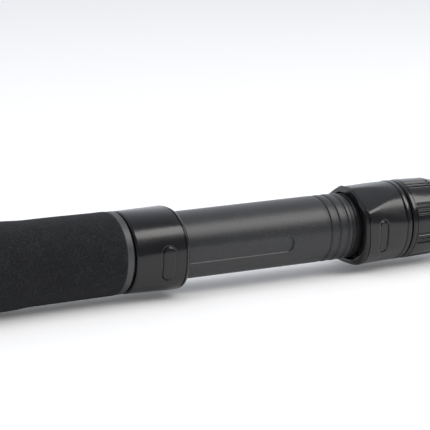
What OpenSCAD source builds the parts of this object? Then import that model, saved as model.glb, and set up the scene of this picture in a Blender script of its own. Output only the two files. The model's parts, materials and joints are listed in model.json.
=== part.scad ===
/* [View] */

/* [Tubes] */
// Outer radius of the handle tube, mm
handle_tube_r = 17.2; // [16.5:0.1:18]
// Radius lost from one tube to the next smaller one, mm
tube_step = 2.2; // [2:0.1:3]
// Tube wall thickness, mm
tube_wall = 1.5; // [1.2:0.1:2]
// Front end of the handle tube, from the butt face, mm
handle_front_x = 619.5; // [560:0.5:680]
// Depth of the guide groove in each sliding tube, mm
groove_depth = 0.95; // [0.5:0.05:1.1]
// Width of the guide groove in the second tube, mm
groove_width_2 = 7; // [4:0.5:8]
// Width lost by the groove from one tube to the next, mm
groove_width_step = 1; // [0:0.25:1.5]
// Distance from the handle tube's end to the front tip of the second tube's groove, mm
groove_reach_2 = 81.1; // [40:0.1:120]
// Number of grip rings turned in the front end of the second tube
grip_groove_count = 3; // [2:1:3]
// Spacing of these rings, mm
grip_groove_pitch = 4.5; // [3:0.1:6]
// Width of one turned groove, mm
grip_groove_width = 1.3; // [0.5:0.1:2]
// Depth of one turned groove, mm
grip_groove_cut = 0.5; // [0.2:0.05:0.6]
// Position of the first turned groove, from the butt face, mm
grip_groove_x = 720.3; // [700:0.1:740]

/* [Handle] */
// Front end of the foam grip, mm
foam_front_x = 616; // [600:0.5:640]
// Rear end of the foam grip, mm
foam_rear_x = 312; // [200:1:400]
// Foam radius at the front neck, mm
foam_neck_r = 18.4; // [17.8:0.1:20]
// Foam radius in the hand, mm
foam_body_r = 19.9; // [18.5:0.1:22]
// Radius of the two rings that close the foam, mm
grip_ring_r = 18.1; // [17.8:0.1:19]
// Width of the rings that close the foam, mm
grip_ring_width = 3.3; // [3:0.1:6]
// Half width of the rubber butt across its flats, mm
butt_flat = 20; // [19:0.1:22]
// Length of the rubber butt, mm
butt_length = 26; // [18:1:40]

/* [Twist locks] */
// Direction that the guide grooves face, degrees below the side
key_angle = 8; // [0:1:30]
// Length of the spigot that holds each lock sleeve, mm
spigot_length = 25; // [15:1:30]
// Running gap between a tube and its lock sleeve, mm
run_gap = 0.05; // [0.02:0.01:0.1]
// Gap left between neighbouring pieces that are bonded, mm
bond_gap = 0.02; // [0.01:0.01:0.05]
// Working gap between a nut and the sleeve inside it, mm
nut_gap = 0.2; // [0.1:0.05:0.3]
// Length of the rear bush of each sliding tube, mm
bush_length = 30; // [15:1:40]
// Length of the thumb recess on the two large nuts, mm
thumb_length = 15.8; // [10:0.1:20]
// Width of the thumb recess, mm
thumb_width = 5; // [3:0.1:8]
// Depth of the thumb recess, mm
thumb_depth = 0.4; // [0.2:0.05:0.8]
// Distance of the thumb recess from the open rim of the first nut, mm
thumb_from_rim_1 = 10.1; // [6:0.1:12]
// Distance of the thumb recess from the open rim of the second nut, mm
thumb_from_rim_2 = 8; // [6:0.1:12]
// Number of flute groups round the two small nuts
flute_groups = 8; // [4:1:12]
// Angle between flutes in one group, degrees
flute_pitch = 6.6; // [4:0.1:10]
// Radius of the round cutter that makes a flute, mm
flute_r = 0.9; // [0.3:0.05:0.95]

/* [Tip] */
// Radius of the microphone mount thread, mm
stud_r = 4.76; // [4:0.01:8]
// Free length of the thread, mm
stud_length = 12; // [8:0.5:20]
// Outer radius of the tip head, mm
head_r = 10.4; // [9:0.1:14]
// Outer radius of the knurled stop ring, mm
ring_r = 8.6; // [7:0.1:12]
// Number of knurl flutes on the stop ring
ring_flutes = 24; // [12:1:36]

/* [Hidden] */
$fn = 96;

graphite = [0.19, 0.20, 0.22];
gloss_black = [0.03, 0.03, 0.035];
satin_grey = [0.42, 0.43, 0.45];
foam_black = [0.04, 0.04, 0.045];
rubber_black = [0.05, 0.05, 0.05];
bush_white = [0.80, 0.80, 0.78];
sleeve_black = [0.06, 0.06, 0.065];
collet_amber = [0.70, 0.62, 0.45];
steel_grey = [0.62, 0.63, 0.65];

// Front face of nut 1, both faces of nut 2, nut 3 and nut 4, the tip head and the stud
nut_1_front_x = handle_front_x + 26.1;
nut_2_rear_x = nut_1_front_x + 90.2;
nut_2_front_x = nut_2_rear_x + 25.8;
nut_3_rear_x = nut_2_front_x + 0.5;
nut_3_front_x = nut_3_rear_x + 27.9;
nut_4_rear_x = nut_3_front_x + 0.3;
nut_4_front_x = nut_4_rear_x + 21.7;
head_rear_x = nut_4_front_x + 6;
head_front_x = head_rear_x + 15;
ring_rear_x = head_front_x + 0.3;
ring_front_x = ring_rear_x + 3.7;
stud_front_x = ring_front_x + stud_length;

// Front end of tubes 1 to 5, counted by stage
function tube_front(k) = k == 1 ? handle_front_x
    : k == 2 ? nut_2_rear_x - 3.9
    : k == 3 ? nut_3_rear_x + 3.9
    : k == 4 ? nut_4_rear_x + 3.7
    : head_rear_x + 10;
// Rear end of the bush of tubes 2 to 5
function bush_rear(k) = 100 + 19 * (k - 2);
function tube_out(k) = handle_tube_r - tube_step * (k - 1);
function tube_in(k) = tube_out(k) - tube_wall;

// Lock at the front of tube k: sleeve body radius and length, collet length, nut front face
function body_r(k) = k == 1 ? 16.6 : k == 2 ? 14.6 : tube_out(k);
function body_len(k) = k == 1 ? 14 : k == 2 ? 18.7 : k == 3 ? 11 : 9;
function collet_len(k) = k == 1 ? 6.2 : k == 2 ? 5 : k == 3 ? 6 : 4.6;
function nut_front(k) = k == 1 ? nut_1_front_x
    : k == 2 ? nut_2_front_x
    : k == 3 ? nut_3_front_x
    : nut_4_front_x;
function collet_x(k) = tube_front(k) + body_len(k) + 0.4;
function lip_x(k) = collet_x(k) + collet_len(k) + 0.4;
function nut_bore(k) = body_r(k) + nut_gap;
function key_len(k) = min(body_len(k) - 2, 8);
function key_x(k) = tube_front(k) + body_len(k) - key_len(k) - 1;
function groove_width(k) = groove_width_2 - groove_width_step * (k - 2);
// Front tip of the guide groove in tubes 2 to 5
function groove_tip(k) = k == 2 ? handle_front_x + groove_reach_2
    : key_x(k - 1) + key_len(k - 1) + 2;
function wiper_x(k) = lip_x(k) + 0.9;
wiper_width = 1.6;

// Grip outline of nuts 1 and 2: corner radius, and distance of each side from the axis
function lobe_r(k) = k == 1 ? 20.7 : 20.4;
function lobe_side_a(k) = k == 1 ? 19.9 : 19.6;
function lobe_crown_a(k) = k == 1 ? 17.95 : 17.5;
function lobe_shoulder_a(k) = k == 1 ? 18.75 : 16.9;
function lobe_shoulder_angle(k) = k == 1 ? 58 : 62;
lobe_bulge = 40;
round_end_r = 18.1;
nut_1_rear_x = handle_front_x + 0.7;
rim_step = 1.4;
rim_inset = 0.2;
// Bevel and raised lip at the open rim of nut 2
rim_bevel_2 = 1.2;
lip_width_2 = 1.7;
lip_crest_2 = 0.95;
flange_width = 2.6;
skirt_r_2 = 16;
skirt_len_2 = 7.3;
butt_wall = 4;
// Direction of the middle flute of the first group
flute_first_angle = 24;

// A ring along the pole from x0 to x1, between two radii
module tube_span(x0, x1, r_out, r_in) {
    translate([x0, 0, 0])
        rotate([0, 90, 0])
            linear_extrude(height = x1 - x0)
                difference() {
                    circle(r = r_out);
                    circle(r = r_in);
                }
}

// A turned body along the pole; points are [x, r]
module turned(points) {
    rotate([0, 90, 0])
        rotate_extrude()
            polygon([for (p = points) [p[1], p[0]]]);
}

// Turns a cutter made above the pole round to a direction; 0 faces the near side, 90 faces up
module facing(angle) {
    rotate([90 - angle, 0, 0])
        children();
}

// A slot with round ends that points up, from x0 to x1
module slot_block(x0, x1, width, z0, z1) {
    translate([0, 0, z0])
        linear_extrude(height = z1 - z0)
            union() {
                translate([x0 + width / 2, -width / 2])
                    square([x1 - x0 - width, width]);
                translate([x0 + width / 2, 0])
                    circle(r = width / 2);
                translate([x1 - width / 2, 0])
                    circle(r = width / 2);
            }
}

// The same slot laid across the pole
module cross_slot(x_mid, length, width, z0, z1) {
    translate([x_mid, 0, z0])
        linear_extrude(height = z1 - z0)
            union() {
                translate([-width / 2, -length / 2 + width / 2])
                    square([width, length - width]);
                translate([0, -length / 2 + width / 2])
                    circle(r = width / 2);
                translate([0, length / 2 - width / 2])
                    circle(r = width / 2);
            }
}

module sliding_tube(k) {
    x0 = bush_rear(k) + 2 + bond_gap;
    x1 = tube_front(k);
    color(graphite)
        difference() {
            tube_span(x0, x1, tube_out(k), tube_in(k));
            facing(-key_angle)
                slot_block(x0 + 40, groove_tip(k), groove_width(k),
                           tube_out(k) - groove_depth, tube_out(k) + 2);
            if (k == 2)
                for (i = [0 : grip_groove_count - 1])
                    tube_span(grip_groove_x + i * grip_groove_pitch - grip_groove_width / 2,
                              grip_groove_x + i * grip_groove_pitch + grip_groove_width / 2,
                              tube_out(k) + 1, tube_out(k) - grip_groove_cut);
        }
}

module rear_bush(k) {
    x0 = bush_rear(k);
    r1 = tube_in(k - 1) - run_gap;
    r0 = tube_out(k) + bond_gap;
    ri = tube_in(k);
    color(bush_white)
        turned([[x0, ri], [x0, r1 - 0.3], [x0 + 0.6, r1], [x0 + bush_length, r1],
                [x0 + bush_length, r0], [x0 + 2, r0], [x0 + 2, ri]]);
}

module lock_sleeve(k) {
    f = tube_front(k);
    r_run = tube_out(k + 1) + run_gap;
    r_spigot = tube_in(k) - bond_gap;
    r_body = body_r(k);
    rings = floor(body_len(k) / 2.2);
    color(sleeve_black)
        difference() {
            turned([[f - spigot_length, r_run], [f - spigot_length, r_spigot],
                    [f + bond_gap, r_spigot], [f + bond_gap, r_body],
                    [f + body_len(k), r_body], [f + body_len(k), r_run]]);
            facing(-key_angle)
                slot_block(key_x(k) - bond_gap, key_x(k) + key_len(k) + bond_gap,
                           groove_width(k + 1) - 0.6 + 2 * bond_gap, 0, r_body + 2);
            for (i = [0 : rings - 1])
                tube_span(f + 1.2 + i * 2.2, f + 2.1 + i * 2.2, r_body + 1, r_body - 0.45);
        }
}

module guide_key(k) {
    w = groove_width(k + 1) - 0.6;
    z0 = tube_out(k + 1) - groove_depth + 0.15;
    color(steel_grey)
        intersection() {
            facing(-key_angle)
                slot_block(key_x(k), key_x(k) + key_len(k), w, z0, body_r(k) + 1);
            tube_span(key_x(k) - 1, key_x(k) + key_len(k) + 1, body_r(k) - 0.5, 1);
        }
}

module collet(k) {
    x0 = collet_x(k);
    x1 = x0 + collet_len(k);
    r_run = tube_out(k + 1) + run_gap;
    r_big = body_r(k) - 0.2;
    color(collet_amber)
        difference() {
            turned([[x0, r_run], [x0, r_big], [x0 + collet_len(k) * 0.45, r_big],
                    [x1, r_run + 0.7], [x1, r_run]]);
            facing(90)
                translate([x0 - 1, -0.6, 0])
                    cube([collet_len(k) + 2, 1.2, r_big + 2]);
            for (a = [150, 210, 270, 330])
                facing(a)
                    translate([x0 + collet_len(k) * 0.35, -0.4, 0])
                        cube([collet_len(k) + 2, 0.8, r_big + 2]);
        }
}

module wiper_ring(k) {
    x0 = wiper_x(k) + bond_gap;
    x1 = x0 + wiper_width - 2 * bond_gap;
    r_run = tube_out(k + 1) + 0.1;
    color(rubber_black)
        turned([[x0, r_run + 0.3], [x0, r_run + 1], [x1, r_run + 1], [x1, r_run + 0.3],
                [(x0 + x1) / 2, r_run]]);
}

// Bore of a nut: open at the rear, a lip at the front with a groove for the wiper
module nut_bore_cut(k, rear_x, skirt_r, skirt_len) {
    r_lip = tube_out(k + 1) + 0.3;
    r_wiper = tube_out(k + 1) + 1.1 + bond_gap;
    x_front = nut_front(k);
    turned([[rear_x - 1, 0], [rear_x - 1, skirt_r], [rear_x + skirt_len, skirt_r],
            [rear_x + skirt_len, nut_bore(k)], [lip_x(k), nut_bore(k)],
            [lip_x(k), r_lip], [wiper_x(k), r_lip], [wiper_x(k), r_wiper],
            [wiper_x(k) + wiper_width, r_wiper], [wiper_x(k) + wiper_width, r_lip],
            [x_front + 1, r_lip], [x_front + 1, 0]]);
}

// One side of the grip outline: a shallow arc that passes at distance a from the axis
module side_disc(angle, a, bulge) {
    translate([(bulge - a) * cos(angle), -(bulge - a) * sin(angle)])
        circle(r = bulge);
}

// Grip outline of the two large nuts: two broad sides, a crown, a base and two shoulder flats;
// crest lifts the shoulder flats only
module grip_outline(k, inset, crest) {
    bulge = lobe_bulge - inset;
    intersection() {
        circle(r = lobe_r(k) - inset);
        side_disc(0, lobe_side_a(k) - inset, bulge);
        side_disc(180, lobe_side_a(k) - inset, bulge);
        side_disc(90, lobe_crown_a(k) - inset, bulge);
        side_disc(-90, lobe_crown_a(k) - inset, bulge);
        side_disc(lobe_shoulder_angle(k), lobe_shoulder_a(k) - inset + crest, 2 * bulge);
        side_disc(180 - lobe_shoulder_angle(k), lobe_shoulder_a(k) - inset + crest, 2 * bulge);
    }
}

// The outline carried along the pole; the outline is drawn across the pole, Y then Z
module outline_prism(x0, x1, k, inset, crest = 0) {
    translate([x0, 0, 0])
        rotate([90, 0, 90])
            linear_extrude(height = x1 - x0)
                grip_outline(k, inset, crest);
}

// Shallow thumb recess that follows the side of the nut
module thumb_recess(k, x_mid) {
    for (a = [-9, 189])
        intersection() {
            facing(a)
                cross_slot(x_mid, thumb_length, thumb_width, 10, 30);
            difference() {
                outline_prism(x_mid - thumb_width, x_mid + thumb_width, k, -2);
                outline_prism(x_mid - thumb_width - 1, x_mid + thumb_width + 1, k, thumb_depth);
            }
        }
}

// Nut 1: round at the rear, lobed at the open front rim
module large_nut_1() {
    x0 = nut_1_rear_x;
    x1 = nut_1_front_x;
    color(gloss_black)
        difference() {
            intersection() {
                union() {
                    outline_prism(x0, x1 - rim_step, 1, 0);
                    outline_prism(x0, x1, 1, rim_inset);
                }
                turned([[x0, 0], [x0, round_end_r - 0.3], [x0 + 0.4, round_end_r],
                        [x0 + 15, lobe_r(1)], [x1, lobe_r(1)], [x1, 0]]);
            }
            nut_bore_cut(1, x0, nut_bore(1), 1);
            thumb_recess(1, x1 - thumb_from_rim_1);
        }
}

// Nut 2: a hollow lobed skirt at the rear, a round flange at the front
module large_nut_2() {
    x0 = nut_2_rear_x;
    x1 = nut_2_front_x;
    color(gloss_black)
        difference() {
            union() {
                intersection() {
                    union() {
                        outline_prism(x0 + lip_width_2 / 2, x1 - flange_width, 2, 0);
                        outline_prism(x0, x0 + lip_width_2, 2, 0, lip_crest_2);
                    }
                    turned([[x0, 0], [x0, lobe_r(2) - rim_bevel_2], [x0 + rim_bevel_2, lobe_r(2)],
                            [x0 + 10, lobe_r(2)], [x1 - flange_width, round_end_r + 0.9],
                            [x1 - flange_width, 0]]);
                }
                tube_span(x1 - flange_width, x1, round_end_r, 13.5);
            }
            nut_bore_cut(2, x0, skirt_r_2, skirt_len_2);
            thumb_recess(2, x0 + thumb_from_rim_2);
        }
}

// Flutes in groups round a small nut; each flute is a round cutter laid along the pole
module flutes(x0, x1, r, cutter_r) {
    for (g = [0 : flute_groups - 1])
        for (i = [-1 : 1])
            facing(flute_first_angle + g * 360 / flute_groups + i * flute_pitch)
                translate([x0, 0, r])
                    rotate([0, 90, 0])
                        cylinder(r = cutter_r, h = x1 - x0);
}

module small_nut_3() {
    x0 = nut_3_rear_x;
    x1 = nut_3_front_x;
    r = round_end_r;
    color(gloss_black)
        difference() {
            turned([[x0, 0], [x0, r - 1.1], [x0 + 0.9, r - 0.1], [x0 + 2.4, r - 0.1],
                    [x0 + 2.4, r], [x0 + 16.8, r - 0.4], [x1 - 0.8, r - 3.1], [x1, r - 3.9], [x1, 0]]);
            nut_bore_cut(3, x0, nut_bore(3), 1);
            flutes(x0 + 2.8, x0 + 16.3, r + 0.25, flute_r);
        }
}

module small_nut_4() {
    x0 = nut_4_rear_x;
    x1 = nut_4_front_x;
    r = 14.8;
    color(gloss_black)
        difference() {
            turned([[x0, 0], [x0, r - 0.9], [x0 + 0.8, r - 0.1], [x0 + 2, r - 0.1],
                    [x0 + 2, r], [x0 + 14, r], [x1 - 0.8, r - 2.6], [x1, r - 3.4], [x1, 0]]);
            nut_bore_cut(4, x0, nut_bore(4), 1);
            flutes(x0 + 3, x0 + 13.4, r + 0.2, flute_r * 0.75);
        }
}

module butt_bumper() {
    color(rubber_black)
        difference() {
            intersection() {
                translate([0, -butt_flat, -butt_flat])
                    cube([butt_length, 2 * butt_flat, 2 * butt_flat]);
                turned([[0, 0], [0, butt_flat - 1.5], [2.5, butt_flat + 1.4],
                        [butt_length - 1.5, butt_flat + 1.4], [butt_length, butt_flat], [butt_length, 0]]);
            }
            tube_span(butt_wall, butt_length + 1, handle_tube_r + bond_gap, 0);
            for (x = [8, 13, 18])
                tube_span(x, x + 1.6, butt_flat + 3, butt_flat + 0.5);
        }
}

module butt_plug() {
    r = tube_in(1) - bond_gap;
    x0 = butt_wall + bond_gap;
    color(satin_grey)
        turned([[x0, 0], [x0, r], [x0 + 20, r], [x0 + 20, r - 2], [x0 + 3, r - 2], [x0 + 3, 0]]);
}

module outer_tube() {
    color(graphite)
        tube_span(butt_wall + bond_gap, handle_front_x, handle_tube_r, tube_in(1));
}

module foam_grip() {
    ri = handle_tube_r + bond_gap;
    x0 = foam_rear_x;
    x1 = foam_front_x;
    color(foam_black)
        turned([[x0, ri], [x0, foam_neck_r], [x0 + 8, foam_neck_r + 0.2], [x0 + 30, foam_body_r],
                [x1 - 72, foam_body_r], [x1 - 52, foam_neck_r + 0.8], [x1 - 38, foam_neck_r + 0.2],
                [x1, foam_neck_r], [x1, ri]]);
}

module grip_ring_front() {
    color(satin_grey)
        turned([[foam_front_x + bond_gap, handle_tube_r + bond_gap],
                [foam_front_x + bond_gap, grip_ring_r - 0.2],
                [foam_front_x + 0.3, grip_ring_r],
                [foam_front_x + grip_ring_width - 0.3, grip_ring_r],
                [foam_front_x + grip_ring_width, grip_ring_r - 0.3],
                [foam_front_x + grip_ring_width, handle_tube_r + bond_gap]]);
}

module grip_ring_rear() {
    color(satin_grey)
        turned([[foam_rear_x - grip_ring_width, handle_tube_r + bond_gap],
                [foam_rear_x - grip_ring_width, grip_ring_r - 0.3],
                [foam_rear_x - grip_ring_width + 0.3, grip_ring_r],
                [foam_rear_x - 0.3, grip_ring_r],
                [foam_rear_x - bond_gap, grip_ring_r - 0.2],
                [foam_rear_x - bond_gap, handle_tube_r + bond_gap]]);
}

module tip_socket() {
    x0 = head_rear_x;
    x1 = head_front_x;
    tube_r = tube_out(5) + bond_gap;
    color(satin_grey)
        difference() {
            turned([[x0, tube_r], [x0, head_r - 0.8], [x0 + 0.8, head_r], [x1 - 1, head_r],
                    [x1, head_r - 1], [x1, stud_r + bond_gap], [x0 + 10 + bond_gap, stud_r + bond_gap],
                    [x0 + 10 + bond_gap, tube_r]]);
            for (x = [x0 + 3.5, x0 + 6])
                tube_span(x, x + 1, head_r + 1, head_r - 0.5);
        }
}

module thread_stud() {
    x0 = head_rear_x + 6;
    xs = head_rear_x + 10 - bond_gap;
    color(steel_grey)
        turned([[x0, 0], [x0, tube_in(5) - 0.3], [xs, tube_in(5) - 0.3], [xs, stud_r],
                [ring_front_x + 0.15, stud_r], [ring_front_x + 0.15, stud_r - 0.7],
                [ring_front_x + 1, stud_r - 0.7], [ring_front_x + 1, stud_r],
                [stud_front_x - 0.8, stud_r], [stud_front_x, stud_r - 0.8], [stud_front_x, 0]]);
}

module thumb_ring() {
    x0 = ring_rear_x;
    x1 = ring_front_x;
    color(satin_grey)
        difference() {
            turned([[x0, stud_r + 0.06], [x0, ring_r - 0.4], [x0 + 0.4, ring_r],
                    [x1 - 0.4, ring_r], [x1, ring_r - 0.4], [x1, stud_r + 0.06]]);
            for (i = [0 : ring_flutes - 1])
                facing(i * 360 / ring_flutes)
                    translate([x0 - 1, 0, ring_r + 0.2])
                        rotate([0, 90, 0])
                            cylinder(r = 0.55, h = x1 - x0 + 2);
        }
}

butt_bumper();
butt_plug();
outer_tube();
foam_grip();
grip_ring_front();
grip_ring_rear();
lock_sleeve(1);  // lock_sleeve_1
guide_key(1);  // guide_key_1
collet(1);  // collet_1
large_nut_1();  // lock_nut_1
wiper_ring(1);  // wiper_ring_1
sliding_tube(2);  // tube_2
rear_bush(2);  // rear_bush_2
lock_sleeve(2);  // lock_sleeve_2
guide_key(2);  // guide_key_2
collet(2);  // collet_2
large_nut_2();  // lock_nut_2
wiper_ring(2);  // wiper_ring_2
sliding_tube(3);  // tube_3
rear_bush(3);  // rear_bush_3
lock_sleeve(3);  // lock_sleeve_3
guide_key(3);  // guide_key_3
collet(3);  // collet_3
small_nut_3();  // lock_nut_3
wiper_ring(3);  // wiper_ring_3
sliding_tube(4);  // tube_4
rear_bush(4);  // rear_bush_4
lock_sleeve(4);  // lock_sleeve_4
guide_key(4);  // guide_key_4
collet(4);  // collet_4
small_nut_4();  // lock_nut_4
wiper_ring(4);  // wiper_ring_4
sliding_tube(5);  // tube_5
rear_bush(5);  // rear_bush_5
tip_socket();
thread_stud();
thumb_ring();
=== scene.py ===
import bpy
import json
import math
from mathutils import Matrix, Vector, noise


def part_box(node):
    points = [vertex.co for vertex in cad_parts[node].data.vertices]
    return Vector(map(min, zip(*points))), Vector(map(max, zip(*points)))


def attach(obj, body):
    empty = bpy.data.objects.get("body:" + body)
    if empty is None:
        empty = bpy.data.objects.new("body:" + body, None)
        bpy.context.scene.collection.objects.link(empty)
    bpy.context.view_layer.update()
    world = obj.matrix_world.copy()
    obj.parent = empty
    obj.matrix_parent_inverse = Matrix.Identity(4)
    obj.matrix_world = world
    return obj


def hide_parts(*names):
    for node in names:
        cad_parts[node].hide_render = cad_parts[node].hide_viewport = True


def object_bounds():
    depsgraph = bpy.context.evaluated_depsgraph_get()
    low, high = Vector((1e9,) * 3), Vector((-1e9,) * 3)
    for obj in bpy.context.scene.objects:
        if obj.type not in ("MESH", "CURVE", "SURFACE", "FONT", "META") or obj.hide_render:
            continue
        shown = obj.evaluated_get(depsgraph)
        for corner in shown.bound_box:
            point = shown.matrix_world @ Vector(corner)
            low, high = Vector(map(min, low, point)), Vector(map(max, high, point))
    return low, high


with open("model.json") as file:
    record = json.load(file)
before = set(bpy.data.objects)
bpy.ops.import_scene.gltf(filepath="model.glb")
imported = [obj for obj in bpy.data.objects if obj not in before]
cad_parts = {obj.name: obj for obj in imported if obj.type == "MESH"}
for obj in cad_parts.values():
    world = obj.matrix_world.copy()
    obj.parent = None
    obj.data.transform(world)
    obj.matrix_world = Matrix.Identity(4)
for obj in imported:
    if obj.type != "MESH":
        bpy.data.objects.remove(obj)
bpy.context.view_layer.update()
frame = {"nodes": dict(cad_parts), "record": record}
nodes = frame["nodes"]
MM = 0.001  # lengths below are in mm, the frame is in metres


def span(node):
    """Rear and front ends of a node along the pole, mm."""
    lo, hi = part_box(node)
    return lo.x / MM, hi.x / MM


# ---------------------------------------------------------------- node materials
class Mat:
    """A node material with small helpers for noise, ramps and bump."""

    def __init__(self, name):
        self.m = bpy.data.materials.new(name)
        self.m.use_nodes = True
        self.t = self.m.node_tree
        self.t.nodes.clear()
        self.out = self.t.nodes.new("ShaderNodeOutputMaterial")
        self.b = self.t.nodes.new("ShaderNodeBsdfPrincipled")
        self.link(self.b.outputs[0], self.out.inputs[0])
        self.co = self.t.nodes.new("ShaderNodeTexCoord")

    def link(self, a, b):
        self.t.links.new(a, b)

    def set(self, **values):
        names = {"base": "Base Color", "metal": "Metallic", "rough": "Roughness", "ior": "IOR",
                 "coat": "Coat Weight", "coat_rough": "Coat Roughness", "spec": "Specular IOR Level",
                 "sheen": "Sheen Weight", "sheen_rough": "Sheen Roughness", "aniso": "Anisotropic"}
        for key, value in values.items():
            if key == "base":
                value = (value[0], value[1], value[2], 1)
            self.b.inputs[names[key]].default_value = value
        return self

    def scaled(self, scale=(1, 1, 1)):
        n = self.t.nodes.new("ShaderNodeMapping")
        n.inputs["Scale"].default_value = scale
        self.link(self.co.outputs["Object"], n.inputs["Vector"])
        return n.outputs[0]

    def noise(self, scale, detail=4, rough=0.55, stretch=None, distortion=0.0):
        n = self.t.nodes.new("ShaderNodeTexNoise")
        n.inputs["Scale"].default_value = scale
        n.inputs["Detail"].default_value = detail
        n.inputs["Roughness"].default_value = rough
        n.inputs["Distortion"].default_value = distortion
        self.link(self.scaled(stretch) if stretch else self.co.outputs["Object"], n.inputs["Vector"])
        return n.outputs[0]

    def voronoi(self, scale):
        n = self.t.nodes.new("ShaderNodeTexVoronoi")
        n.inputs["Scale"].default_value = scale
        self.link(self.co.outputs["Object"], n.inputs["Vector"])
        return n.outputs["Distance"]

    def ramp(self, source, stops):
        n = self.t.nodes.new("ShaderNodeValToRGB")
        e = n.color_ramp.elements
        while len(e) < len(stops):
            e.new(0.5)
        for i, (p, c) in enumerate(stops):
            e[i].position = p
            e[i].color = (c[0], c[1], c[2], 1)
        self.link(source, n.inputs[0])
        return n.outputs[0]

    def map(self, source, lo, hi, a=0.0, b=1.0):
        n = self.t.nodes.new("ShaderNodeMapRange")
        for i, v in enumerate((a, b, lo, hi)):
            n.inputs[i + 1].default_value = v
        self.link(source, n.inputs[0])
        return n.outputs[0]

    def math(self, op, a, b):
        n = self.t.nodes.new("ShaderNodeMath")
        n.operation = op
        for i, v in enumerate((a, b)):
            if hasattr(v, "is_linked"):
                self.link(v, n.inputs[i])
            else:
                n.inputs[i].default_value = v
        return n.outputs[0]

    def bump(self, height, strength, distance, under=None):
        n = self.t.nodes.new("ShaderNodeBump")
        n.inputs["Strength"].default_value = strength
        n.inputs["Distance"].default_value = distance
        self.link(height, n.inputs["Height"])
        if under:
            self.link(under, n.inputs["Normal"])
        self.link(n.outputs[0], self.b.inputs["Normal"])
        return n.outputs[0]


def gloss_black():
    """Moulded glossy nylon: faint orange peel, clouded roughness, hair-fine scuffs."""
    m = Mat("gloss_black").set(ior=1.50, coat=0.14, coat_rough=0.10, spec=0.42)
    cloud = m.noise(60, 3)
    fine = m.noise(2400, 2)
    scuff = m.noise(700, 3, 0.6, (0.08, 1, 1), 0.4)
    wear = m.math("ADD", cloud, m.math("MULTIPLY", fine, 0.4))
    m.link(m.map(m.math("ADD", wear, m.math("MULTIPLY", scuff, 0.25)), 0.16, 0.29, 0.5, 1.25),
           m.b.inputs["Roughness"])
    m.link(m.ramp(cloud, [(0.3, (0.0068, 0.0068, 0.0078)), (0.75, (0.0105, 0.0105, 0.0118))]),
           m.b.inputs["Base Color"])
    m.bump(m.noise(420, 3), 0.04, 0.0004, m.bump(m.noise(55, 2), 0.06, 0.0006))
    return m.m


def graphite_tube():
    """Satin graphite tube: fine fibre speckle, drawn slightly along the pole."""
    m = Mat("graphite_tube").set(metal=0.10, ior=1.5, spec=0.45, coat=0.10, coat_rough=0.28)
    speck = m.noise(1500, 3, 0.7)
    cloud = m.noise(35, 4, 0.6, (0.35, 1, 1))
    tone = m.math("ADD", m.math("MULTIPLY", speck, 0.75), m.math("MULTIPLY", cloud, 0.35))
    m.link(m.ramp(tone, [(0.36, (0.018, 0.0185, 0.0205)), (0.60, (0.031, 0.0315, 0.034)),
                         (0.74, (0.052, 0.053, 0.057))]),
           m.b.inputs["Base Color"])
    m.link(m.map(tone, 0.33, 0.45, 0.35, 0.75), m.b.inputs["Roughness"])
    m.bump(speck, 0.14, 0.0003, m.bump(m.noise(160, 3, 0.5, (0.12, 1, 1)), 0.05, 0.0004))
    return m.m


def foam():
    """Closed-cell foam: two sizes of pore over soft lumps; painted shade darkens the pores and hollows, and
    painted light makes the high spots paler.
    """
    m = Mat("foam_black").set(ior=1.35, spec=0.22, sheen=0.05, sheen_rough=0.6)
    cells = m.voronoi(1050)
    small = m.voronoi(2300)
    lumps = m.noise(190, 5, 0.65)
    pores = m.math("ADD", m.math("MULTIPLY", cells, 0.65), m.math("MULTIPLY", small, 0.45))
    # colour follows the bump heights: painted shade in the pores and low spots, painted light on the high
    # lumps
    m.link(m.ramp(m.math("ADD", m.math("MULTIPLY", pores, 0.5), m.math("MULTIPLY", lumps, 0.6)),
                  [(0.28, (0.0058, 0.0061, 0.0072)), (0.55, (0.0122, 0.0127, 0.0147)),
                   (0.80, (0.024, 0.025, 0.028))]),
           m.b.inputs["Base Color"])
    m.link(m.map(lumps, 0.74, 0.93, 0.3, 0.7), m.b.inputs["Roughness"])
    m.bump(pores, 0.55, 0.0005, m.bump(lumps, 0.30, 0.0008))
    return m.m


def satin_ring(name, tone):
    """Bead-blasted, dyed aluminium with faint turning marks."""
    m = Mat(name).set(metal=0.45, ior=1.5, aniso=0.3)
    turn = m.noise(900, 3, 0.6, (1, 0.05, 0.05))
    grain = m.noise(2600, 2)
    m.link(m.ramp(turn, [(0.3, (tone * 0.88, tone * 0.89, tone * 0.92)),
                         (0.7, (tone * 1.08, tone * 1.09, tone * 1.13))]),
           m.b.inputs["Base Color"])
    m.link(m.map(m.math("ADD", turn, m.math("MULTIPLY", grain, 0.4)), 0.42, 0.56, 0.4, 1.1),
           m.b.inputs["Roughness"])
    m.bump(turn, 0.06, 0.0002, m.bump(grain, 0.06, 0.0001))
    return m.m


def rubber(name, tone=0.016, rough=0.62):
    """Moulded rubber: grained skin with a little pale dust."""
    m = Mat(name).set(ior=1.45, spec=0.35)
    grain = m.noise(1500, 3)
    dust = m.noise(70, 5, 0.7)
    m.link(m.ramp(dust, [(0.35, (tone * 0.8, tone * 0.8, tone * 0.84)),
                         (0.8, (tone * 1.7, tone * 1.7, tone * 1.72))]),
           m.b.inputs["Base Color"])
    m.link(m.map(dust, rough - 0.08, rough + 0.14, 0.3, 0.75), m.b.inputs["Roughness"])
    m.bump(grain, 0.22, 0.00025, m.bump(m.noise(260, 3), 0.12, 0.0004))
    return m.m


def plastic(name, a, b):
    """Unpainted moulded plastic with a fine matte grain."""
    m = Mat(name).set(ior=1.47)
    cloud = m.noise(120, 4)
    m.link(m.ramp(cloud, [(0.3, a), (0.75, b)]), m.b.inputs["Base Color"])
    m.link(m.map(cloud, 0.38, 0.52, 0.3, 0.7), m.b.inputs["Roughness"])
    m.bump(m.noise(1800, 2), 0.10, 0.0002)
    return m.m


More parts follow.
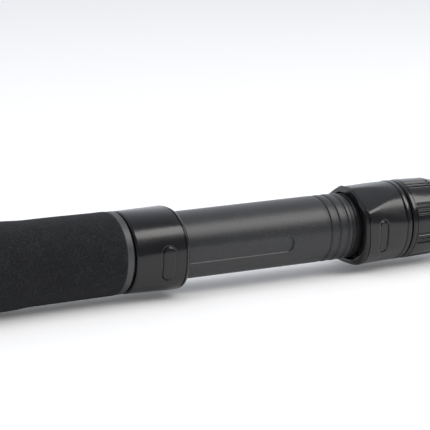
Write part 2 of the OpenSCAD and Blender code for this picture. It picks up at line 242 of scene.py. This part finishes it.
def steel(name, tone):
    """Turned steel: marks run round the pole."""
    m = Mat(name).set(metal=1.0, aniso=0.4)
    turn = m.noise(1400, 3, 0.6, (1, 0.06, 0.06))
    m.link(m.ramp(turn, [(0.3, (tone * 0.85, tone * 0.86, tone * 0.88)),
                         (0.7, (tone * 1.1, tone * 1.1, tone * 1.12))]),
           m.b.inputs["Base Color"])
    m.link(m.map(turn, 0.20, 0.36, 0.3, 0.7), m.b.inputs["Roughness"])
    m.bump(turn, 0.10, 0.00015)
    return m.m


MATS = {
    "gloss_black": gloss_black(),
    "graphite_tube": graphite_tube(),
    "foam_black": foam(),
    "satin_ring": satin_ring("satin_ring", 0.085),
    "head_grey": satin_ring("head_grey", 0.06),
    "butt_rubber": rubber("butt_rubber"),
    "seal_rubber": rubber("seal_rubber", 0.014, 0.45),
    "sleeve_black": plastic("sleeve_black", (0.010, 0.010, 0.011), (0.017, 0.017, 0.019)),
    "bush_plastic": plastic("bush_plastic", (0.46, 0.46, 0.43), (0.60, 0.60, 0.57)),
    "collet_plastic": plastic("collet_plastic", (0.34, 0.27, 0.15), (0.47, 0.38, 0.23)),
    "key_steel": steel("key_steel", 0.42),
    "stud_steel": steel("stud_steel", 0.50),
}
for part in frame["record"]["subparts"]:
    obj = nodes[part["node"]]
    obj.data.materials.clear()
    obj.data.materials.append(MATS[part["material_slot"]])


# ---------------------------------------------------------------- building pieces
def finish_mesh(name, verts, faces, slot, body, replaced, sharp=38):
    """Make the piece: smooth except at edges over sharp degrees, riding body in place of its nodes."""
    me = bpy.data.meshes.new(name)
    me.from_pydata(verts, [], faces)
    me.validate()
    me.update()
    for p in me.polygons:
        p.use_smooth = True
    me.set_sharp_from_angle(angle=math.radians(sharp))
    me.materials.append(MATS[slot])
    ob = bpy.data.objects.new(name, me)
    bpy.context.scene.collection.objects.link(ob)
    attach(ob, body)
    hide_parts(*replaced)
    return ob


def shell(name, rows, angles, slot, body, replaced, sharp=38):
    """A closed surface round the pole. rows are (x, radius), radius a number or f(angle in degrees);
    angle 0 faces the near side and 90 faces up. The last row joins the first."""
    verts, faces, n, count = [], [], len(angles), len(rows)
    trig = [(-math.cos(math.radians(a)), math.sin(math.radians(a))) for a in angles]
    for x, r in rows:
        for a, (c, s) in zip(angles, trig):
            q = (r(a) if callable(r) else r) * MM
            verts.append((x * MM, c * q, s * q))
    for i in range(count):
        j = (i + 1) % count
        for k in range(n):
            l = (k + 1) % n
            faces.append((i * n + k, i * n + l, j * n + l, j * n + k))
    return finish_mesh(name, verts, faces, slot, body, replaced, sharp)


def steps(a, b, n):
    """n equal steps from a to b, both ends included."""
    return [a + (b - a) * i / n for i in range(n + 1)]


def smooth(a, b, x):
    """0 before a, 1 after b, eased between."""
    t = min(1.0, max(0.0, (x - a) / (b - a)))
    return t * t * (3 - 2 * t)


def disc_hit(angle, towards, a, bulge):
    """Distance along angle to a circle of radius bulge whose near point lies at distance a."""
    d = math.cos(math.radians(angle - towards))
    c = a - bulge
    return c * d + math.sqrt(max(0.0, (c * d) ** 2 - c * c + bulge * bulge))


def soft_min(values, power):
    """The smallest value, eased where two are close."""
    m = min(values)
    return m * sum((m / v) ** power for v in values) ** (-1.0 / power)


# ---------------------------------------------------------------- large nuts
FLAT_BULGE = 80  # the shoulder flats are parts of circles this wide
CHEEK_BULGE = 55
CHEEK_AT = 29  # direction of the cheeks, degrees above the side
EDGE_POWER = 120  # how crisply the parts of an outline meet
PAD_AT = -9  # direction of the thumb pads, degrees above the side
PAD_R = 19.4
PAD_LENGTH = 15.4  # round the nut, mm
PAD_DEPTH = 0.10
PAD_GROOVE = 0.66
RING = [i * 0.5 for i in range(720)]


def lobed(angle, shape):
    """Radius of a large nut's outline: a rounded oblong, fuller below, cut by two shoulder flats.
    shape holds half width, half height, roundness above and below, the flats' distance and angle,
    and the distance of the shallow cheeks under the flats."""
    side, crown, full_up, full_down, flat, flat_at, cheek = shape
    c, s = abs(math.cos(math.radians(angle))), math.sin(math.radians(angle))
    n = full_up if s > 0 else full_down
    values = [((c / side) ** n + (abs(s) / crown) ** n) ** (-1 / n)]
    if s > 0:
        values += [disc_hit(angle, at, flat, FLAT_BULGE) for at in (flat_at, 180 - flat_at)]
    values += [disc_hit(angle, at, cheek, CHEEK_BULGE) for at in (CHEEK_AT, 180 - CHEEK_AT)]
    return soft_min(values, EDGE_POWER)


def blend_shape(a, b, t):
    """The outline a share t of the way from a to b."""
    return tuple(u + (v - u) * t for u, v in zip(a, b))


def thumb(angle, x, x_mid, half, away):
    """Depth of the thumb pads: low ovals in a groove that is deepest on the side away points to."""
    best = 0.0
    for mid in (PAD_AT, 180 - PAD_AT):
        turn = math.radians(angle - mid)
        if math.cos(turn) < 0:
            continue
        over = max(0.0, abs(PAD_R * math.sin(turn)) - (PAD_LENGTH / 2 - half))
        d = math.hypot(x - x_mid, over) - half
        lean = 0.35 + 0.65 * smooth(-half, half * 0.6, (x - x_mid) * away)
        groove = PAD_GROOVE * math.exp(-((d + 0.30) / 0.34) ** 2)
        best = max(best, lean * (groove + PAD_DEPTH * (1 - smooth(-1.2, -0.2, d))))
    return best


def build_nut_1():
    """Rear nut: the lobed outline runs to the open front rim and rounds off at the rear."""
    x0, x1 = span("lock_nut_1")
    rim_shape = (19.95, 18.0, 2.2, 2.75, 18.85, 58, 24)
    rear_shape = (18.75, 18.1, 1.88, 2.1, 20.0, 58, 24)
    pad_x = x1 - 10.1
    pad_half = 3.2
    bore, lip_bore, lip_x = 16.82, 15.32, x1 - 4.4

    def at(x, inset):
        shape = blend_shape(rear_shape, rim_shape, (x - x0) / (x1 - x0))
        return lambda a: lobed(a, shape) - inset - thumb(a, x, pad_x, pad_half, -1)
    # distance back from the rim, and how far the surface is let in: bevel, lip, line behind the lip
    rim = ((0.0, 1.25), (0.08, 1.05), (0.3, 0.78), (0.6, 0.52), (0.9, 0.34), (1.2, 0.22), (1.5, 0.16),
           (1.62, 0.22), (1.68, 0.55), (2.12, 0.55), (2.2, 0.1), (2.32, 0.0))
    rear_edge = ((0.8, 0.02), (0.55, 0.08), (0.35, 0.18), (0.2, 0.32), (0.08, 0.5), (0, 0.8))
    rows = [(x1 - d, at(x1 - d, inset)) for d, inset in rim]
    rows += [(x, at(x, 0.0)) for x in steps(x1 - 2.4, x0 + 1.0, 105)]
    rows += [(x0 + d, at(x0 + d, inset)) for d, inset in rear_edge]
    rows += [(x0, 16.95), (x0 + 0.1, bore), (lip_x, bore), (lip_x, lip_bore), (x1 - 0.5, lip_bore),
             (x1 - 0.2, 15.42), (x1, 15.7)]
    return shell("lock_nut_1_shell", rows, RING, "gloss_black", "nut_1", ["lock_nut_1"])


def build_nut_2():
    """Middle nut: open skirt with a bevelled lip at the rear, round flange at the front."""
    x0, x1 = span("lock_nut_2")
    lip_shape = (19.8, 17.6, 2.5, 2.9, 17.85, 62, 24)
    rim_shape = (19.7, 17.45, 2.5, 2.9, 16.85, 62, 20.3)
    flange_shape = (18.0, 17.9, 2.0, 2.05, 18.2, 62, 17.5)
    flange_x, flange_r = x1 - 2.6, 18.1
    pad_x = x0 + 10.0
    pad_half = 2.5
    bore, skirt_x = 13.12, x0 + 7.2

    def lip(inset):
        return lambda a: lobed(a, lip_shape) - inset

    def at(x, inset):
        shape = blend_shape(rim_shape, flange_shape, min(1.0, (x - x0) / (flange_x - x0)))
        return lambda a: lobed(a, shape) - inset - thumb(a, x, pad_x, pad_half, 1)
    # distance in from the rim, and how far the surface is let in: bevel and lip, then the line behind it
    bevel = ((0.0, 2.55), (0.05, 2.2), (0.17, 1.72), (0.4, 1.15), (0.7, 0.64), (1.0, 0.30), (1.25, 0.10),
             (1.5, 0.0), (1.66, 0.02), (1.76, 0.14))
    rows = [(x0 + d, lip(inset)) for d, inset in bevel]
    rows += [(x0 + d, at(x0, inset)) for d, inset in ((1.80, 0.40), (2.15, 0.40), (2.25, 0.06))]
    rows += [(x, at(x, 0.0)) for x in steps(x0 + 2.4, flange_x - 0.25, 104)]
    rows += [(flange_x - 0.02, at(flange_x, 0.16)), (flange_x, 17.75), (flange_x + 0.12, 18.02),
             (flange_x + 0.3, flange_r), (x1 - 0.45, flange_r), (x1 - 0.38, 18.06), (x1 - 0.35, 17.95),
             (x1 - 0.35, 13.6), (x1 - 0.6, bore), (x1 - 5.2, bore), (x1 - 5.2, 14.8), (skirt_x, 14.85),
             (skirt_x, 15.95), (x0 + 0.8, 16.0), (x0 + 0.3, 16.3), (x0 + 0.08, 16.7), (x0, 17.0)]
    return shell("lock_nut_2_shell", rows, RING, "gloss_black", "nut_2", ["lock_nut_2"])


# ---------------------------------------------------------------- small nuts
GROUPS = 8
GROUP_TURN = 360 / GROUPS
FIRST_GROUP = 24  # direction of the first group of flutes, degrees above the side
FLUTE_TURN = 6.6  # between the flutes of a group, degrees
FLUTE_HALF = 0.85
FLUTE_DEPTH = 0.72


def fluted(angle, r, depth):
    """Radius of a small nut: groups of three round flutes."""
    local = (angle - FIRST_GROUP + GROUP_TURN / 2) % GROUP_TURN - GROUP_TURN / 2
    d = min(abs(local - FLUTE_TURN), abs(local), abs(local + FLUTE_TURN))
    half = math.degrees(FLUTE_HALF / r)
    return r - depth * (1 - min(1.0, d / half) ** 2) ** 1.2


def build_small_nut(node, body, r, r_front, flute_length, shoulder_length, nose, bore, lip):
    """Fluted nut: radius r at the rear, r_front at the shoulder, then a cone that loses nose."""
    x0, x1 = span(node)
    flute_to, shoulder = x0 + flute_length, x0 + shoulder_length
    angles = [FIRST_GROUP + GROUP_TURN * g + t for g in range(GROUPS)
              for t in steps(-GROUP_TURN / 2, GROUP_TURN / 2, 90)[:-1]]

    def at(x):
        radius = r + (r_front - r) * smooth(x0 + 3, shoulder, x)
        w = smooth(x0 + 2.9, x0 + 3.7, x) * (1 - smooth(flute_to - 1.6, flute_to, x))
        return (lambda a: fluted(a, radius, FLUTE_DEPTH * w)) if w > 0 else radius
    # distance in from the rear face, and loss of radius: bevel, rear band, line in front of the band
    rear = ((0.25, 0.85), (0.3, 0.68), (0.5, 0.4), (0.8, 0.2), (1.0, 0.13), (1.2, 0.11), (2.2, 0.1),
            (2.3, 0.26), (2.5, 0.26), (2.6, 0.03))
    rows = [(x0 + d, r - loss) for d, loss in rear]
    rows += [(x, at(x)) for x in steps(x0 + 2.8, shoulder - 0.6, 70)]
    rows += [(shoulder - 0.3, r_front - 0.02), (shoulder, r_front - 0.08), (shoulder + 0.4, r_front - 0.24)]
    for t in steps(0.1, 1.0, 8):
        rows.append((shoulder + (x1 - 0.8 - shoulder) * t, r_front - 0.1 - (r_front - r + nose - 0.15) * t))
    rows += [(x1 - 0.5, r - nose - 0.15), (x1 - 0.15, r - nose - 0.55), (x1, r - nose - 0.85)]
    rows += [(x1, lip + 0.3), (x1 - 0.3, lip), (x1 - 3.4, lip), (x1 - 3.4, bore), (x0 + 0.5, bore),
             (x0 + 0.25, bore + 0.3)]
    return shell(node + "_shell", rows, angles, "gloss_black", body, [node], sharp=50)


build_nut_1()
build_nut_2()
build_small_nut("lock_nut_3", "nut_3", 18.1, 17.7, 16.4, 16.8, 3.1, 13.02, 10.92)
build_small_nut("lock_nut_4", "nut_4", 14.8, 14.8, 13.6, 14.0, 2.6, 10.82, 8.72)


# ---------------------------------------------------------------- second tube: grip rings and guide groove
def build_tube_2():
    """Second tube: turned grip rings near the front, and the flat guide groove with its rounded end."""
    x0, x1 = span("tube_2")
    outer, bore = 15.0, 13.55
    tip = 700.6  # front end of the guide groove
    groove_at = -8  # direction of the groove, degrees above the side
    groove_floor, groove_half = 14.1, 3.5
    angles = sorted(set([round(-180 + i * 1.5, 3) for i in range(240)]
                        + [round(groove_at + t, 3) for t in steps(-17, 17, 110)]))
    angles = [a for i, a in enumerate(angles) if i == 0 or a - angles[i - 1] > 0.02]
    rings = [720.3 + 4.5 * i for i in range(3)]

    def at(x):
        cut = 0.0
        for c in rings:
            d = abs(x - c)
            cut = max(cut, 0.52 * (1 - smooth(0.28, 0.75, d)) + 0.10 * (1 - smooth(0.6, 2.1, d)))

        def r(a):
            turn = math.radians(a - groove_at)
            if math.cos(turn) < 0:
                return outer - cut
            over = max(0.0, x - (tip - groove_half))
            d = (abs(outer * math.sin(turn)) ** 2.5 + over ** 2.5) ** 0.4 - groove_half
            flat = groove_floor / max(0.5, math.cos(turn))
            depth = (outer - flat) * (1 - smooth(-0.08, 0.38, d))
            return outer - max(cut, depth)
        return r
    # rows are close together at the groove's end and along the rings
    xs = steps(x0, 600, 8) + steps(612, 690, 12) + steps(692, 702, 70) + steps(704, 717, 6)
    xs += steps(718, x1 - 0.9, 130)
    rows = [(x, at(x)) for x in xs] + [(x1 - 0.5, 14.94), (x1 - 0.25, 14.82), (x1 - 0.08, 14.6), (x1, 14.3)]
    rows += [(x1, bore), (x0, bore)]
    return shell("tube_2_skin", rows, angles, "graphite_tube", "section_2", ["tube_2"], sharp=60)


build_tube_2()


# ---------------------------------------------------------------- foam grip
def build_foam():
    """Foam sleeve: a long soft swell that thins to the front ring, with rounded ends."""
    x0, x1 = span("foam_grip")
    pts = [(x0, 18.4), (x0 + 8, 18.6), (x0 + 30, 19.9), (x1 - 72, 19.9), (x1 - 52, 19.2), (x1 - 38, 18.6),
           (x1, 18.4)]
    skin, bore = 0.10, 17.25  # room left for the lumps under the CAD surface, and the bore
    end = ((0.0, 0.9), (0.08, 0.5), (0.25, 0.22), (0.6, 0.07), (1.2, 0.0))  # rounding of each end

    def base(x):
        for (xa, ra), (xb, rb) in zip(pts, pts[1:]):
            if x <= xb:
                return ra + (rb - ra) * smooth(xa, xb, x)
        return pts[-1][1]

    def at(x, inset):
        b = base(x) - skin - inset

        def r(a):
            c, s = math.cos(math.radians(a)), math.sin(math.radians(a))
            swell = noise.noise(Vector((x * 0.05, c * 0.9, s * 0.9)))
            lumps = noise.noise(Vector((x * 0.6, c * 11, s * 11)))
            return b + 0.06 * swell + 0.035 * lumps
        return r
    rows = [(x1 - d, at(x1 - d, inset)) for d, inset in end]
    rows += [(x, at(x, 0.0)) for x in steps(x1 - 2, x0 + 2, 260)]
    rows += [(x0 + d, at(x0 + d, inset)) for d, inset in reversed(end)]
    rows += [(x0, bore), (x1, bore)]
    angles = [i * 2.0 for i in range(180)]
    ob = shell("foam_sleeve", rows, angles, "foam_black", "handle", ["foam_grip"], sharp=70)
    return ob


build_foam()


# ---------------------------------------------------------------- microphone thread: a real helix
def build_thread():
    """Threaded stud: a helix that starts at the collar and fades at the tip, and the round collar."""
    x0, x1 = span("thread_stud")
    n, pitch, crest, root = 48, 1.5875, 4.76, 3.9
    start, stop = x0 + 4.2, x1
    rows = int((stop - start) / pitch * 10)  # ten rows to a turn
    verts, faces = [], []

    def circle(x, radius):
        for k in range(n):
            a = 2 * math.pi * k / n
            r = radius(k)
            verts.append((x * MM, math.cos(a) * r * MM, math.sin(a) * r * MM))

    def band(first, second):
        for k in range(n):
            l = (k + 1) % n
            faces.append((first + k, first + l, second + l, second + k))

    for i in range(rows + 1):
        x = start + (stop - start) * i / rows
        tip_loss = 0.75 * smooth(stop - 1.4, stop, x)
        lead = smooth(start + 0.2, start + 1.2, x)

        def helix(k):
            phase = ((x - start) / pitch - k / n) % 1.0
            height = 1 - abs(2 * phase - 1)
            depth = (crest - root) * min(1.0, max(0.0, (height - 0.12) / 0.72))
            return min(crest - depth * lead, crest - tip_loss)
        circle(x, helix)
    collar = len(verts)
    for x, r in ((start, 6.5), (x0 + 0.3, 6.5), (x0, 6.2)):
        circle(x, lambda k: r)
    for i in range(rows):
        band(i * n, (i + 1) * n)
    faces.append(tuple(rows * n + k for k in range(n)))
    band(collar, 0)
    band(collar + n, collar)
    band(collar + 2 * n, collar + n)
    faces.append(tuple(collar + 2 * n + k for k in range(n))[::-1])
    return finish_mesh("thread_stud_helix", verts, faces, "stud_steel", "section_5", ["thread_stud"], 40)


build_thread()

# ---------------------------------------------------------------- floor, light and camera
FLOOR_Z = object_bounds()[0][2]
FLOOR_HALF = 9
me = bpy.data.meshes.new("floor")
corners = ((-1, -1), (1, -1), (1, 1), (-1, 1))
me.from_pydata([(FLOOR_HALF * x, FLOOR_HALF * y, FLOOR_Z) for x, y in corners], [], [(0, 1, 2, 3)])
floor = bpy.data.objects.new("floor", me)
bpy.context.scene.collection.objects.link(floor)
fm = Mat("floor_white").set(base=(0.86, 0.86, 0.87), rough=0.6)
fm.b.inputs["Emission Color"].default_value = (1, 1, 1, 1)
fm.b.inputs["Emission Strength"].default_value = 0.10
me.materials.append(fm.m)


def studio_world():
    """Even studio surround, brighter behind the pole than in front of it."""
    world = bpy.data.worlds.new("studio")
    bpy.context.scene.world = world
    world.use_nodes = True
    tree = world.node_tree
    tree.nodes.clear()
    out = tree.nodes.new("ShaderNodeOutputWorld")
    ground = tree.nodes.new("ShaderNodeBackground")
    coords = tree.nodes.new("ShaderNodeTexCoord")
    split = tree.nodes.new("ShaderNodeSeparateXYZ")
    ramp = tree.nodes.new("ShaderNodeValToRGB")
    centre = tree.nodes.new("ShaderNodeMath")
    centre.operation = "MULTIPLY_ADD"
    centre.inputs[1].default_value = 0.5
    centre.inputs[2].default_value = 0.5
    e = ramp.color_ramp.elements
    for i, (p, v) in enumerate(((0.0, 0.16), (0.42, 0.30), (0.60, 0.55), (0.95, 1.05))):
        if i >= len(e):
            e.new(0.5)
        e[i].position = p
        e[i].color = (v * 0.95, v * 0.99, v * 1.06, 1)
    ground.inputs[1].default_value = 1.0
    tree.links.new(coords.outputs["Generated"], split.inputs[0])
    tree.links.new(split.outputs["Y"], centre.inputs[0])
    tree.links.new(centre.outputs[0], ramp.inputs[0])
    tree.links.new(ramp.outputs[0], ground.inputs[0])
    tree.links.new(ground.outputs[0], out.inputs[0])


def area(name, at, aim, size, power):
    """Slightly warm rectangular lamp at a place, aimed at another."""
    light = bpy.data.lights.new(name, "AREA")
    light.shape = "RECTANGLE"
    light.size, light.size_y = size
    light.energy = power
    light.color = (1.0, 0.985, 0.955)
    ob = bpy.data.objects.new(name, light)
    ob.location = at
    ob.rotation_euler = (Vector(aim) - Vector(at)).to_track_quat("-Z", "Y").to_euler()
    bpy.context.scene.collection.objects.link(ob)
    return ob


studio_world()
focus = Vector((0.67, 0, 0))
key = Vector((0.489, -0.435, 0.700)).normalized()
area("key_softbox", focus + key * 1.25, focus, (0.70, 0.70), 8.2)
area("top_softbox", focus + Vector((-0.1, 0.05, 1.7)), focus, (1.6, 1.4), 15.0).visible_glossy = False

cam = bpy.data.cameras.new("camera")
cam.sensor_width = 36
cam.lens = 218.4
cam.clip_end = 50
cam_ob = bpy.data.objects.new("camera", cam)
cam_ob.location = (0.1123, -0.9768, 0.2452)
cam_ob.rotation_euler = (math.radians(78.26), 0, math.radians(-29.67))
bpy.context.scene.collection.objects.link(cam_ob)
bpy.context.scene.camera = cam_ob
bpy.context.scene.view_settings.view_transform = "Standard"
